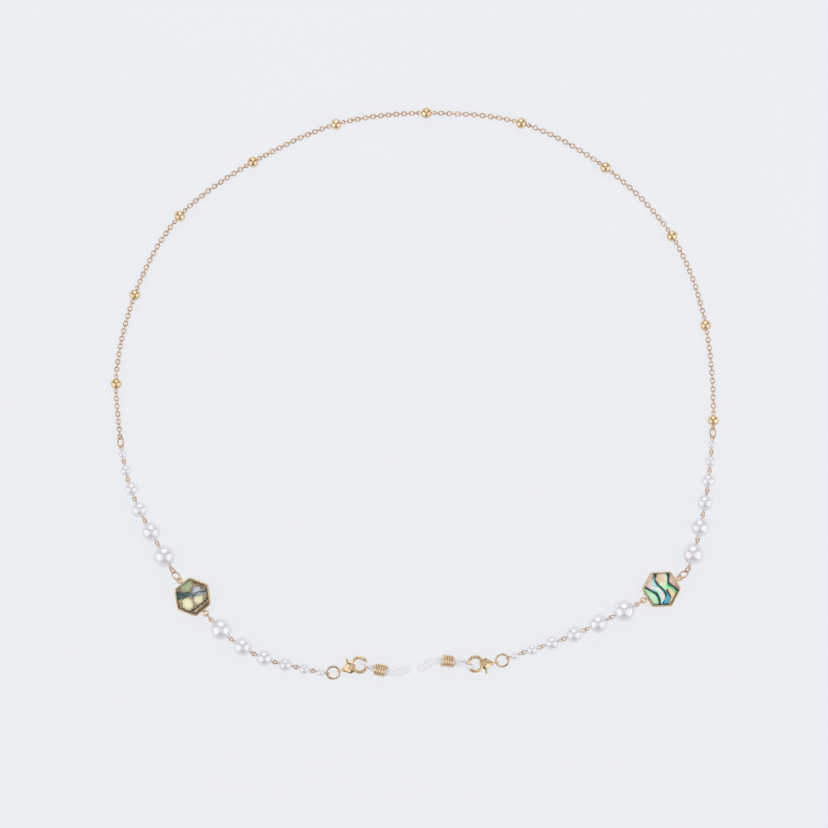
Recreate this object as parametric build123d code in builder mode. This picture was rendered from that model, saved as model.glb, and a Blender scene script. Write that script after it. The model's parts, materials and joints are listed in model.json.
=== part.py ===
"""Eyeglasses chain strap: cable chain with ball stations, graded pearl strands, two hexagonal
shell links, lobster clasps and silicone temple loops, lying flat as an almost closed ring.

Millimetres. X to the right, Y away, Z up from the surface that the strap lies on.
"""
from build123d import *
import math
import os

os.makedirs("parts", exist_ok=True)

# ---------------------------------------------------------------- driving dimensions
PEARL_DIAMETERS = (3, 4, 5, 6, 7, 8)        # graded, smallest first
BALL_DIAMETER = 4.0                         # gold station balls on the chain
BALL_COUNT = 11
MIDDLE_BALL = 6                             # the strap is laid out from this ball, both ways
BORE_CLEARANCE = 0.05                       # between a bead's bore and its pin

PIN_WIRE = 0.18                             # wire radius of the pearls' eye pins
PIN_EYE = 0.82                              # centreline radius of their eyes
EYE_SWEEP = 312                             # degrees that an eye bends round, nearly closed
BALL_WIRE = 0.19                            # the same for the ball stations
BALL_EYE = 0.65
LINK_WIRE = 0.185                           # cable chain link: wire radius, outer length and width
LINK_LENGTH = 2.34
LINK_WIDTH = 1.85
LINKS_PER_RUN = 19
LINKS_IN_END_RUN = 12
CONNECTOR_WIRE = 0.19                       # long link between an 8 mm pearl and the hexagon side
CONNECTOR_LENGTH = 3.75
CONNECTOR_WIDTH = 2.00
CHAIN_RING = (1.75, 0.28)                   # jump rings: centreline radius, wire radius
HEX_RING = (1.90, 0.27)
CLASP_RING = (2.35, 0.33)

HEX_ACROSS_FLATS = 12.6
HEX_HEIGHT = 3.0
HEX_WALL = 0.5
HEX_FLOOR = 0.6
HEX_CORNER = 1.5                            # rounding of the hexagon's corners
HEX_EYE = 0.92
HEX_EYE_WIRE = 0.27
HEX_EYE_HEIGHT = 2.5
HEX_REACH = 7.70                            # from the hexagon's centre to the centre of each eye
SHELL_THICKNESS = 1.2
DOME_CROWN = 0.6                            # height of the clear dome above its own edge
FIT_GAP = 0.03                              # between the bezel and what it holds

CLASP_THICKNESS = 2.0
CLASP_PIVOT = 4.0                           # distances along the clasp from its tail eye
CLASP_MOUTH = 7.7
CLASP_OUTER = 3.2                           # outer and inner radius of the claw
CLASP_INNER = 2.1
CLASP_CHEEK = 2.1                           # radius of the two cheeks round the pivot
CLASP_GATE_REACH = 5.5                      # from the pivot to the tip of the gate
CLASP_GAP = 0.08
CLASP_EYE = 0.90
CLASP_EYE_WIRE = 0.28
CLASP_TAIL_HEIGHT = 1.45                    # of the tail eye and of the nose, which the band lifts
CLASP_NOSE_HEIGHT = 2.60
SLOT_HALF = 0.50                            # half height of the slot that the lever turns in
LEVER_HALF = 0.45                           # half thickness of the lever in that slot
GATE_HALF = 0.85                            # half thickness of the gate outside it
RIVET = 0.42

BAND = 0.65                                 # radius of the silicone band
COIL_RADIUS = 1.95                          # centreline of the coil that grips the band
COIL_WIRE = 0.38
COIL_TURNS = 6
COIL_PITCH = 0.86

# Slack in each kind of connection: how much nearer the two eyes are than when pulled tight
LEFT_CHAIN_SLACK = 0.175
RIGHT_CHAIN_SLACK = 0.085
BALL_SLACK = 0.18
UPPER_SLACK = 0.68
LEFT_LOWER_SLACK = 0.72
RIGHT_LOWER_SLACK = 0.15
RING_SLACK = 0.25

# Roll of each loop about the strap's own line, 0 lying flat and 90 standing on edge.
# Neighbouring loops differ by 60 to 90 degrees, as interlinked loops must.
FLAT, UPRIGHT = 0, 90
STEEP, SHALLOW = 60, -30
HEX_RING_ROLL, CLASP_RING_ROLL = 60, -15
PIN_DROOP = 0.10                            # sine of the largest pearls' slope down to the hexagons

# Where the strap lies: points chosen along its line, from the middle ball out to each clasp
LEFT_LINE = [
    (4.5, 103.2), (-29.5, 98.8), (-58.2, 85.6), (-86, 65), (-102, 36.2), (-108.5, 4),
    (-107.6, -10), (-105, -27), (-99.6, -42), (-90.8, -57.8), (-86.2, -65.9), (-80.3, -73.2),
    (-75.2, -79.6), (-69.4, -85.6), (-60.6, -92.4), (-45.5, -98), (-36.5, -100), (-31, -101),
    (-22, -97.5), (-12, -98),
]
RIGHT_LINE = [
    (4.5, 103.2), (39.7, 99.4), (71, 82.4), (94.3, 58), (106.2, 26), (109, -8.5), (107.8, -25),
    (105.7, -40), (102.2, -55.5), (98.7, -64.3), (91.8, -69.2), (84.6, -73.6), (76.4, -78),
    (66.2, -83), (57.5, -87), (43, -92.2), (34, -95.4), (30, -97), (20, -97.5), (8, -95),
]
LEFT_CLASP_HEADING = 18.0                   # degrees in plan that each clasp points along
RIGHT_CLASP_HEADING = 183.0
LEFT_BAND_BEARING, RIGHT_BAND_BEARING = -33, -9    # degrees that each band turns aside as it leaves the claw
LEFT_COIL_START, RIGHT_COIL_START = 13.0, 15.2    # from the tail eye to the coil that grips the band
LEFT_LOOP_BOW, RIGHT_LOOP_BOW = 42, 52            # degrees that each temple loop has turned at its tip


# ---------------------------------------------------------------- the strap's line
class Piece:
    """One loop-ended element of the strap and where it lies."""

    def __init__(self, name, kind, reach, eye, wire, height, roll, slack):
        self.name, self.kind, self.roll = name, kind, roll
        self.reach = reach          # from its centre to the centre of each eye
        self.eye = eye              # half length of an eye along the line, to the wire's centre
        self.wire = wire
        self.height = self.lowest = height        # of its centre above the surface
        self.slack = slack          # of its connection to the piece before it
        self.lean = 0.0             # sine of the slope, positive when it climbs along the line
        self.held = kind in ("hex", "clasp")      # keeps the lean it is given
        self.back = self.ahead = reach + eye      # from its centre to the two points it hinges about

    def place(self):
        """The plane it is drawn in: X along the line, Z square to its eyes."""
        flat = math.sqrt(1 - self.lean**2)
        along = Vector(self.heading.X * flat, self.heading.Y * flat, self.lean)
        side = Vector(-self.heading.Y, self.heading.X, 0)
        up = along.cross(side)
        turn = math.radians(self.roll)
        normal = up * math.cos(turn) + side * math.sin(turn)
        return Plane(origin=(self.centre.X, self.centre.Y, self.height), x_dir=along, z_dir=normal)

    def hinge_point(self, way):
        """The middle of the hook-up with its neighbour on the side that way (1 or -1) points to."""
        return self.place().from_local_coords(Vector(self.ahead if way > 0 else -self.back, 0, 0))


def link_pieces(name, count, slack):
    """A run of cable chain after a ball, its links alternately on edge and flat."""
    run = []
    for i in range(count):
        run.append(Piece(name, "link", 0, LINK_LENGTH / 2 - LINK_WIRE, LINK_WIRE, LINK_WIDTH / 2 + 0.02,
                         (UPRIGHT, FLAT)[i % 2], slack if i else BALL_SLACK))
    return run


def ball_piece(number):
    return Piece(f"chain_run_{number:02d}", "ball", BALL_DIAMETER / 2 + BALL_EYE + BALL_WIRE, BALL_EYE,
                 BALL_WIRE, BALL_DIAMETER / 2, FLAT, BALL_SLACK)


def pearl_piece(side, level, diameter, roll, slack):
    return Piece(f"{side}_{level}_pearl_{diameter}mm", "pearl", diameter / 2 + PIN_EYE + PIN_WIRE,
                 PIN_EYE, PIN_WIRE, diameter / 2, roll, slack)


def connector_piece(side, level, roll, slack):
    return Piece(f"{side}_{level}_pearl_8mm", "connector", 0, CONNECTOR_LENGTH / 2 - CONNECTOR_WIRE,
                 CONNECTOR_WIRE, 1.0, roll, slack)


def ring_piece(name, size, roll, slack):
    lowest = size[0] * abs(math.sin(math.radians(roll))) + size[1] + 0.02
    return Piece(name, "ring", 0, size[0], size[1], lowest, roll, slack)


def side_pieces(side, chain_slack, lower_slack):
    """The pieces of one side, from the middle ball to the clasp's tail eye."""
    left = side == "left"
    numbers = range(MIDDLE_BALL - 1, 0, -1) if left else range(MIDDLE_BALL + 1, BALL_COUNT + 1)
    pieces = [ball_piece(MIDDLE_BALL)]
    for number in numbers:
        run = f"chain_run_{number + 1 if left else number:02d}"
        pieces += link_pieces(run, LINKS_PER_RUN, chain_slack)
        pieces.append(ball_piece(number))
    if left:
        pieces += link_pieces("chain_run_01", LINKS_IN_END_RUN, chain_slack)
    pieces.append(ring_piece(f"{side}_chain_ring", CHAIN_RING, STEEP, RING_SLACK))
    rolls = [SHALLOW, STEEP]
    for i, diameter in enumerate(PEARL_DIAMETERS):
        slack = UPPER_SLACK if i else RING_SLACK
        pieces.append(pearl_piece(side, "upper", diameter, rolls[i % 2], slack))
    pieces[-1].lean, pieces[-1].held = -PIN_DROOP, True
    pieces.append(connector_piece(side, "upper", SHALLOW, UPPER_SLACK))
    pieces.append(ring_piece(f"{side}_hex_ring", HEX_RING, HEX_RING_ROLL, RING_SLACK))
    pieces.append(Piece(f"{side}_hex", "hex", HEX_REACH, HEX_EYE, HEX_EYE_WIRE, HEX_EYE_HEIGHT,
                        FLAT, RING_SLACK))
    pieces.append(connector_piece(side, "lower", UPRIGHT, RING_SLACK))
    for i, diameter in enumerate(reversed(PEARL_DIAMETERS)):
        slack = lower_slack if i else UPPER_SLACK
        pieces.append(pearl_piece(side, "lower", diameter, rolls[i % 2], slack))
        if i == 0:
            pieces[-1].lean, pieces[-1].held = PIN_DROOP / 2, True
    slack = max(RING_SLACK, 0.62 * lower_slack)
    pieces.append(ring_piece(f"{side}_clasp_ring", CLASP_RING, CLASP_RING_ROLL, slack))
    pieces.append(Piece(f"{side}_clasp", "clasp", 0, CLASP_EYE, CLASP_EYE_WIRE,
                        CLASP_TAIL_HEIGHT, UPRIGHT, RING_SLACK))
    for piece in pieces:
        piece.roll *= 1 if left else -1
    return pieces


def hook_up(pieces):
    """Two hooked eyes overlap by both wires and the slack. They hinge about the overlap's middle, but
    what hooks into a hexagon hinges about the hexagon's own wire."""
    for before, piece in zip(pieces, pieces[1:]):
        overlap = before.wire + piece.wire + piece.slack
        share = {"hex": (0, 1)}.get(before.kind, {"hex": (1, 0)}.get(piece.kind, (0.5, 0.5)))
        before.ahead = before.reach + before.eye - overlap * share[0]
        piece.back = piece.reach + piece.eye - overlap * share[1]


def lay(pieces, line, rounds=4):
    """Places the pieces one after another with the points that they hinge about on the line."""
    def on_line(travelled):
        return line.position_at(travelled, position_mode=PositionMode.LENGTH)

    pieces[0].centre, pieces[0].heading, pieces[0].travelled = on_line(0), line % 0, 0.0
    here = pieces[0].ahead
    for piece in pieces[1:]:
        flat = math.sqrt(1 - piece.lean**2)
        span = (piece.back + piece.ahead) * flat
        there = here + span
        for _ in range(rounds):
            there += span - (on_line(there) - on_line(here)).length
        piece.heading = (on_line(there) - on_line(here)).normalized()
        piece.centre = on_line(here) + piece.heading * piece.back * flat
        piece.travelled = here + piece.back * flat
        here = there


def drop_chain(pieces, fall=0.25):
    """Lifts the links beside each bead or ring, so that the chain comes down from it to the surface."""
    held = [p for p in pieces if p.kind != "link"]
    for link in (p for p in pieces if p.kind == "link"):
        link.height = link.lowest
        for other in held:
            beyond = abs(link.travelled - other.travelled) - other.reach - other.eye
            link.height = max(link.height, min(other.height, BALL_DIAMETER / 2) - fall * beyond)


# How far each kind gives way to the heights of its neighbours, 0 staying level
EASING = {"link": 0.85, "ball": 0.3, "pearl": 0.85, "connector": 0.95, "ring": 0.9}
STEEPEST = 0.7


def lean_pins(pieces, rounds=40):
    """Each piece that isn't held leans towards the eyes that it hooks into."""
    for _ in range(rounds):
        for before, piece, after in zip(pieces, pieces[1:], pieces[2:]):
            if piece.held:
                continue
            low = before.height + before.ahead * before.lean
            high = after.height - after.back * after.lean
            if piece.kind in ("connector", "ring"):
                piece.height = max(piece.lowest, (low + high) / 2)
            slope = EASING[piece.kind] * (high - low) / (piece.back + piece.ahead)
            piece.lean = max(-STEEPEST, min(STEEPEST, slope))


def side_line(points, end_tangent):
    return Spline(*points, tangents=((points[1][0] - points[0][0], 0), end_tangent))


left_line = side_line(LEFT_LINE, (1, 0))
right_line = side_line(RIGHT_LINE, (-1, 0))
left_side = side_pieces("left", LEFT_CHAIN_SLACK, LEFT_LOWER_SLACK)
right_side = side_pieces("right", RIGHT_CHAIN_SLACK, RIGHT_LOWER_SLACK)
for pieces, line in ((left_side, left_line), (right_side, right_line)):
    hook_up(pieces)
    for _ in range(4):
        lay(pieces, line)
        drop_chain(pieces)
        lean_pins(pieces)
    lay(pieces, line)


# ---------------------------------------------------------------- repeated small pieces
def wire_loop(length, width, wire):
    """A closed oval link in its own XY plane."""
    bend = width / 2 - wire
    end = (length - width) / 2
    with BuildPart() as loop:
        with BuildLine() as path:
            near = Line((-end, -bend), (end, -bend))
            turn = JernArc(near @ 1, near % 1, bend, 180)
            far = Line(turn @ 1, (-end, bend))
            JernArc(far @ 1, far % 1, bend, 180)
        with BuildSketch(Plane(origin=near @ 0, z_dir=near % 0)):
            Circle(wire)
        sweep(path=path.line)
    return loop.part


def eye_pin(reach, eye, wire):
    """A wire through a bead, bent at each end first aside and then round into an eye."""
    neck = wire + 0.02
    aside = math.acos(neck / (neck + eye))
    shaft = reach - (neck + eye) * math.sin(aside)
    with BuildPart() as pin:
        with BuildLine() as path:
            middle = Line((-shaft, 0), (shaft, 0))
            for start, way in ((middle @ 1, 1), (middle @ 0, -1)):
                bend = JernArc(start, (way, 0), neck, -math.degrees(aside))
                JernArc(bend @ 1, bend % 1, eye, EYE_SWEEP)
        route = path.wires()[0]
        with BuildSketch(Plane(origin=route @ 0, z_dir=route % 0)):
            Circle(wire)
        sweep(path=route)
    return pin.part


def bored_ball(diameter, bore):
    edge = math.sqrt((diameter / 2) ** 2 - bore**2)
    with BuildPart() as ball:
        with BuildSketch():
            with BuildLine():
                RadiusArc((-edge, bore), (edge, bore), diameter / 2)
                Line((edge, bore), (-edge, bore))
            make_face()
        revolve(axis=Axis.X)
    return ball.part


cable_link = wire_loop(LINK_LENGTH, LINK_WIDTH, LINK_WIRE)
connector_link = wire_loop(CONNECTOR_LENGTH, CONNECTOR_WIDTH, CONNECTOR_WIRE)
ball_reach = BALL_DIAMETER / 2 + BALL_EYE + BALL_WIRE
station_ball = bored_ball(BALL_DIAMETER, BALL_WIRE + BORE_CLEARANCE)
station_pin = eye_pin(ball_reach, BALL_EYE, BALL_WIRE)

# One entry per node: the finished shape, and the body that it belongs to
nodes = {}


def keep(name, part):
    part.label = name
    nodes[name] = part


# ---------------------------------------------------------------- chain runs with their ball stations
for number in range(1, BALL_COUNT + 1):
    name = f"chain_run_{number:02d}"
    own = [p for p in left_side + right_side[1:] if p.name == name]
    links = [p.place() for p in own if p.kind == "link"]
    station = [p.place() for p in own if p.kind == "ball"]
    with BuildPart() as chain_run:
        with Locations(*links):
            add(cable_link)
        with Locations(*station):
            add(station_ball)
            add(station_pin)
    keep(name, chain_run.part)

# ---------------------------------------------------------------- pearls on their eye pins
for piece in left_side + right_side:
    if piece.kind != "pearl":
        continue
    diameter = 2 * piece.height
    connectors = [p for p in left_side + right_side if p.kind == "connector" and p.name == piece.name]
    with BuildPart() as pearl_link:
        with Locations(piece.place()):
            add(bored_ball(diameter, PIN_WIRE + BORE_CLEARANCE))
            add(eye_pin(piece.reach, PIN_EYE, PIN_WIRE))
        for connector in connectors:
            with Locations(connector.place()):
                add(connector_link)
    keep(piece.name, pearl_link.part)

# ---------------------------------------------------------------- jump rings
for piece in left_side + right_side:
    if piece.kind == "ring":
        with BuildPart() as jump_ring:
            with Locations(piece.place()):
                Torus(piece.eye, piece.wire)
        keep(piece.name, jump_ring.part)


# ---------------------------------------------------------------- hexagonal shell links
def rounded_hexagon(across_flats, corner):
    """A hexagon with flats facing along X, its corners rounded."""
    with BuildSketch() as outline:
        RegularPolygon(across_flats / 2, 6, major_radius=False, rotation=30)
        fillet(outline.vertices(), corner)
    return outline.sketch


def hex_bezel():
    """The metal cup with an eye on two opposite flats; its middle plane is at the eyes' height."""
    base = -HEX_EYE_HEIGHT
    with BuildPart() as bezel:
        with BuildSketch(Plane.XY.offset(base)):
            add(rounded_hexagon(HEX_ACROSS_FLATS, HEX_CORNER))
        extrude(amount=HEX_HEIGHT)
        with BuildSketch(Plane.XY.offset(base + HEX_FLOOR)):
            add(rounded_hexagon(HEX_ACROSS_FLATS - 2 * HEX_WALL, HEX_CORNER - HEX_WALL / 2))
        extrude(amount=HEX_HEIGHT, mode=Mode.SUBTRACT)
        post = HEX_REACH - HEX_EYE - HEX_ACROSS_FLATS / 2 + 0.4
        for way in (1, -1):
            with Locations((way * HEX_REACH, 0, 0)):
                Torus(HEX_EYE, HEX_EYE_WIRE)
            with Locations((way * (HEX_REACH - HEX_EYE - post / 2), 0, 0)):
                Box(post, 1.1, 2 * HEX_EYE_WIRE)
    return bezel.part


def hex_shell():
    """The slice of shell that lies on the cup's floor."""
    with BuildPart() as shell:
        with BuildSketch(Plane.XY.offset(HEX_FLOOR - HEX_EYE_HEIGHT)):
            size = HEX_ACROSS_FLATS - 2 * HEX_WALL - 2 * FIT_GAP
            add(rounded_hexagon(size, HEX_CORNER - HEX_WALL / 2))
        extrude(amount=SHELL_THICKNESS)
    return shell.part


def hex_dome():
    """The clear domed cover over the shell."""
    size = HEX_ACROSS_FLATS - 2 * HEX_WALL - 2 * FIT_GAP
    foot = HEX_FLOOR + SHELL_THICKNESS - HEX_EYE_HEIGHT
    edge = HEX_HEIGHT - HEX_FLOOR - SHELL_THICKNESS - 0.15
    half = size / math.sqrt(3)
    crown = (half**2 + DOME_CROWN**2) / (2 * DOME_CROWN)
    with BuildPart() as dome:
        with BuildSketch(Plane.XY.offset(foot)):
            add(rounded_hexagon(size, HEX_CORNER - HEX_WALL / 2))
        extrude(amount=edge + DOME_CROWN)
        with Locations((0, 0, foot + edge + DOME_CROWN - crown)):
            Sphere(crown, mode=Mode.INTERSECT)
    return dome.part


bezel, shell, dome = hex_bezel(), hex_shell(), hex_dome()
for side, pieces in (("left", left_side), ("right", right_side)):
    hexagon = next(p for p in pieces if p.kind == "hex")
    for name, shape in (("bezel", bezel), ("shell_inlay", shell), ("clear_dome", dome)):
        with BuildPart() as hex_part:
            with Locations(hexagon.place()):
                add(shape)
        keep(f"{side}_hex_{name}", hex_part.part)


# ---------------------------------------------------------------- lobster clasps
# Drawn with the tail eye at the origin, the nose along X and the gate on the -Y side.
def claw_ring(outer, inner):
    with BuildSketch() as ring:
        with Locations((CLASP_MOUTH, 0)):
            Circle(outer)
            Circle(inner, mode=Mode.SUBTRACT)
    return ring.sketch


def gate_outline(reach):
    """The part of the claw's ring on the gate's side that lies within reach of the pivot."""
    with BuildSketch() as gate:
        add(claw_ring(CLASP_OUTER, CLASP_INNER))
        with Locations((CLASP_MOUTH, -CLASP_OUTER / 2 - 0.35)):
            Rectangle(4 * CLASP_OUTER, CLASP_OUTER, mode=Mode.INTERSECT)
        with Locations((CLASP_PIVOT, 0)):
            Circle(reach, mode=Mode.INTERSECT)
    return gate.sketch


def clasp_body():
    half = CLASP_THICKNESS / 2
    with BuildPart() as body:
        with BuildSketch(Plane.XY.offset(-half)):
            add(claw_ring(CLASP_OUTER, CLASP_INNER))
            with Locations((CLASP_MOUTH, -2 * CLASP_OUTER)):
                Rectangle(4 * CLASP_OUTER, 4 * CLASP_OUTER, mode=Mode.SUBTRACT)
        extrude(amount=2 * half)
        with BuildSketch(Plane.XY.offset(-half)):
            add(claw_ring(CLASP_OUTER, CLASP_INNER))
            with Locations((CLASP_MOUTH, CLASP_OUTER)):
                Rectangle(4 * CLASP_OUTER, 2 * CLASP_OUTER, mode=Mode.SUBTRACT)
            with Locations((CLASP_PIVOT, 0)):
                Circle(CLASP_GATE_REACH + CLASP_GAP, mode=Mode.SUBTRACT)
        extrude(amount=2 * half)
        with BuildSketch(Plane.XY.offset(-half)) as cheek:
            with BuildLine() as neck:
                tail = CenterArc((CLASP_EYE + 0.9, 0), 0.75, 90, 180)
                swell = CenterArc((CLASP_PIVOT, 0), CLASP_CHEEK, -100, 200)
                Line(tail @ 0, swell @ 1)
                Line(tail @ 1, swell @ 0)
            make_face()
        extrude(amount=2 * half)
        with Locations(Location((0, 0, 0), (90, 0, 0))):
            Torus(CLASP_EYE, CLASP_EYE_WIRE)
        with Locations((CLASP_PIVOT, 0, 0)):
            Cylinder(CLASP_CHEEK + 0.15, 2 * SLOT_HALF, mode=Mode.SUBTRACT)
            Cylinder(RIVET, 2 * CLASP_THICKNESS, mode=Mode.SUBTRACT)
    return body.part


def clasp_lever():
    """The sprung lever: hub on the rivet, gate on one side and thumb tab on the other."""
    with BuildPart() as lever:
        with BuildSketch(Plane.XY.offset(-LEVER_HALF)):
            add(gate_outline(CLASP_GATE_REACH))
            with Locations((CLASP_PIVOT, 0)):
                Circle(1.25)
            with BuildLine():
                Polyline((CLASP_PIVOT - 0.5, -1.1), (CLASP_PIVOT + 1.1, 0.4), (CLASP_PIVOT + 1.9, -0.9),
                         (CLASP_PIVOT + 1.5, -2.2), close=True)
            make_face()
            with Locations((CLASP_PIVOT - 0.1, 2.0)):
                SlotCenterToCenter(2.4, 0.9, rotation=96)
        extrude(amount=2 * LEVER_HALF)
        with BuildSketch(Plane.XY.offset(-GATE_HALF)):
            add(gate_outline(CLASP_GATE_REACH))
            with Locations((CLASP_PIVOT, 0)):
                Circle(CLASP_CHEEK + 0.15, mode=Mode.SUBTRACT)
        extrude(amount=2 * GATE_HALF)
        with Locations((CLASP_PIVOT, 0, 0)):
            Cylinder(RIVET + BORE_CLEARANCE, 2 * CLASP_THICKNESS, mode=Mode.SUBTRACT)
    return lever.part


def clasp_rivet():
    with BuildPart() as rivet:
        with Locations((CLASP_PIVOT, 0, 0)):
            Cylinder(RIVET, CLASP_THICKNESS + 0.02)
        for way in (1, -1):
            with Locations((CLASP_PIVOT, 0, way * (CLASP_THICKNESS / 2 + 0.11))):
                Cylinder(0.62, 0.20)
    return rivet.part


def clasp_spring():
    """The bent leaf between the lever's hub and the tail end of the slot."""
    with BuildPart() as spring:
        with BuildSketch(Plane.XY.offset(-0.35)):
            with Locations((CLASP_PIVOT, 0)):
                Circle(1.75)
                Circle(1.60, mode=Mode.SUBTRACT)
            with Locations((CLASP_PIVOT - 3, -1.2)):
                Rectangle(6, 2.4, mode=Mode.INTERSECT)
        extrude(amount=0.7)
    return spring.part


NOSE_BAR = CLASP_MOUTH + (CLASP_OUTER + CLASP_INNER) / 2    # the middle of the nose's bar


def clasp_place(end):
    """The clasp's own plane: its tail eye over the end's origin, its nose lifted by the band."""
    rise = (CLASP_NOSE_HEIGHT - CLASP_TAIL_HEIGHT) / NOSE_BAR
    along = end.x_dir * math.sqrt(1 - rise**2) + end.z_dir * rise
    return Plane(origin=end.origin + end.z_dir * CLASP_TAIL_HEIGHT, x_dir=along,
                 z_dir=along.cross(end.y_dir))


# ---------------------------------------------------------------- silicone temple loops and coils
# Drawn level, above the surface, with X along the clasp from its tail eye. The band turns up
# through the clasp's mouth, passes over and under the nose, runs through the coil as two strands
# side by side, and closes in the temple loop.
BAND_TURN = (0.75, 0.95)                    # from the middle of the mouth, along the clasp and across it
OVER_NOSE = CLASP_THICKNESS / 2 + BAND + 0.20
STRAND = BAND + 0.03
COIL_LENGTH = COIL_TURNS * COIL_PITCH
COIL_HEIGHT = COIL_RADIUS + COIL_WIRE + 0.02
LOOP_HALF = 0.95                            # half the gap between the temple loop's strands
LOOP_LENGTH = 7.3                           # from the coil to the middle of the loop's end


def band_half(way, coil_start, bow, bearing):
    """Half of the band's closed line, from the middle of its turn to the tip of the temple loop."""
    aside = Vector(*BAND_TURN, 0).rotate(Axis.Z, -bearing)
    turn_x, turn_y = CLASP_MOUTH + aside.X, aside.Y
    height = CLASP_NOSE_HEIGHT + way * OVER_NOSE
    after = coil_start + COIL_LENGTH
    bend, tip = math.radians(bow / 3), math.radians(bow)
    middle = (after + LOOP_LENGTH * 0.5, LOOP_LENGTH * 0.5 * math.sin(bend))
    end = (after + LOOP_LENGTH, LOOP_LENGTH * math.sin(bend * 1.9))
    return [
        (turn_x, turn_y, CLASP_NOSE_HEIGHT),
        (turn_x, turn_y, height),
        (NOSE_BAR + 1.1, way * STRAND + turn_y / 4, height),
        (coil_start - 0.5, way * STRAND, COIL_HEIGHT),
        (after + 0.6, way * STRAND, COIL_HEIGHT),
        (middle[0] - way * LOOP_HALF * math.sin(bend), middle[1] + way * LOOP_HALF, 1.3),
        (end[0] - way * LOOP_HALF * math.sin(tip), end[1] + way * LOOP_HALF * math.cos(tip), BAND + 0.05),
        (end[0], end[1], BAND + 0.05),
    ]


def band_place(end, bearing):
    """The band's level plane: the end's own, turned about the middle of the clasp's mouth."""
    mouth = end.origin + end.x_dir * CLASP_MOUTH
    along = end.x_dir.rotate(Axis.Z, bearing)
    return Plane(origin=mouth - along * CLASP_MOUTH, x_dir=along, z_dir=(0, 0, 1))


def silicone_band(coil_start, bow, bearing):
    with BuildPart() as band:
        for way in (1, -1):
            with BuildLine() as route:
                FilletPolyline(*band_half(way, coil_start, bow, bearing), radius=[1.3, 0.8, 1.0, 3.0, 5.0, 0.74])
            with BuildSketch(Plane(origin=route.line @ 0, z_dir=route.line % 0)):
                Circle(BAND)
            sweep(path=route.line)
    return band.part


def grip_coil(coil_start):
    with BuildPart() as coil:
        with BuildLine() as turns:
            Helix(COIL_PITCH, COIL_LENGTH - COIL_PITCH, COIL_RADIUS)
        with BuildSketch(Plane(origin=turns.line @ 0, z_dir=turns.line % 0)):
            Circle(COIL_WIRE)
        sweep(path=turns.line, is_frenet=True)
    start = Location((coil_start + COIL_PITCH / 2, 0, COIL_HEIGHT))
    return coil.part.rotate(Axis.Y, 90).moved(start)


clasp_shapes = {"clasp_body": clasp_body(), "clasp_lever": clasp_lever(),
                "clasp_rivet": clasp_rivet(), "clasp_spring": clasp_spring()}
end_places, band_places = {}, {}
for side, pieces, heading, bearing, coil_start, bow in (
    ("left", left_side, LEFT_CLASP_HEADING, LEFT_BAND_BEARING, LEFT_COIL_START, LEFT_LOOP_BOW),
    ("right", right_side, RIGHT_CLASP_HEADING, RIGHT_BAND_BEARING, RIGHT_COIL_START, RIGHT_LOOP_BOW),
):
    tail = next(p for p in pieces if p.kind == "clasp").centre
    turn = math.radians(heading)
    end = end_places[side] = Plane(origin=(tail.X, tail.Y, 0),
                                   x_dir=(math.cos(turn), math.sin(turn), 0), z_dir=(0, 0, 1))
    level = {"silicone_loop": silicone_band(coil_start, bow, bearing), "grip_coil": grip_coil(coil_start)}
    band_places[side] = band_place(end, bearing)
    for place, shapes in ((clasp_place(end), clasp_shapes), (band_places[side], level)):
        for name, shape in shapes.items():
            with BuildPart() as end_part:
                with Locations(place):
                    add(shape)
            keep(f"{side}_{name}", end_part.part)

# ---------------------------------------------------------------- centred on the surface and saved
boxes = [part.bounding_box() for part in nodes.values()]
low = [min(getattr(box.min, axis) for box in boxes) for axis in "XYZ"]
high = [max(getattr(box.max, axis) for box in boxes) for axis in "XYZ"]
CENTRING = Vector(-(low[0] + high[0]) / 2, -(low[1] + high[1]) / 2, -low[2])
for name, part in nodes.items():
    centred = part.moved(Location(CENTRING))
    centred.label = name
    export_step(centred, f"parts/{name}.step")
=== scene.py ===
"""Looks of an eyeglasses chain strap: gold cable chain, pearls, shell hexagons, clasps and loops.

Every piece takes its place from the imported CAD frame: each CAD solid gives a centre and axes, and
a finer shape of the same kind is drawn there. Lengths inside the script are millimetres.
"""
import json
import math

import bmesh
import bpy
import numpy as np
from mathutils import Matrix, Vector, kdtree

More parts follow.
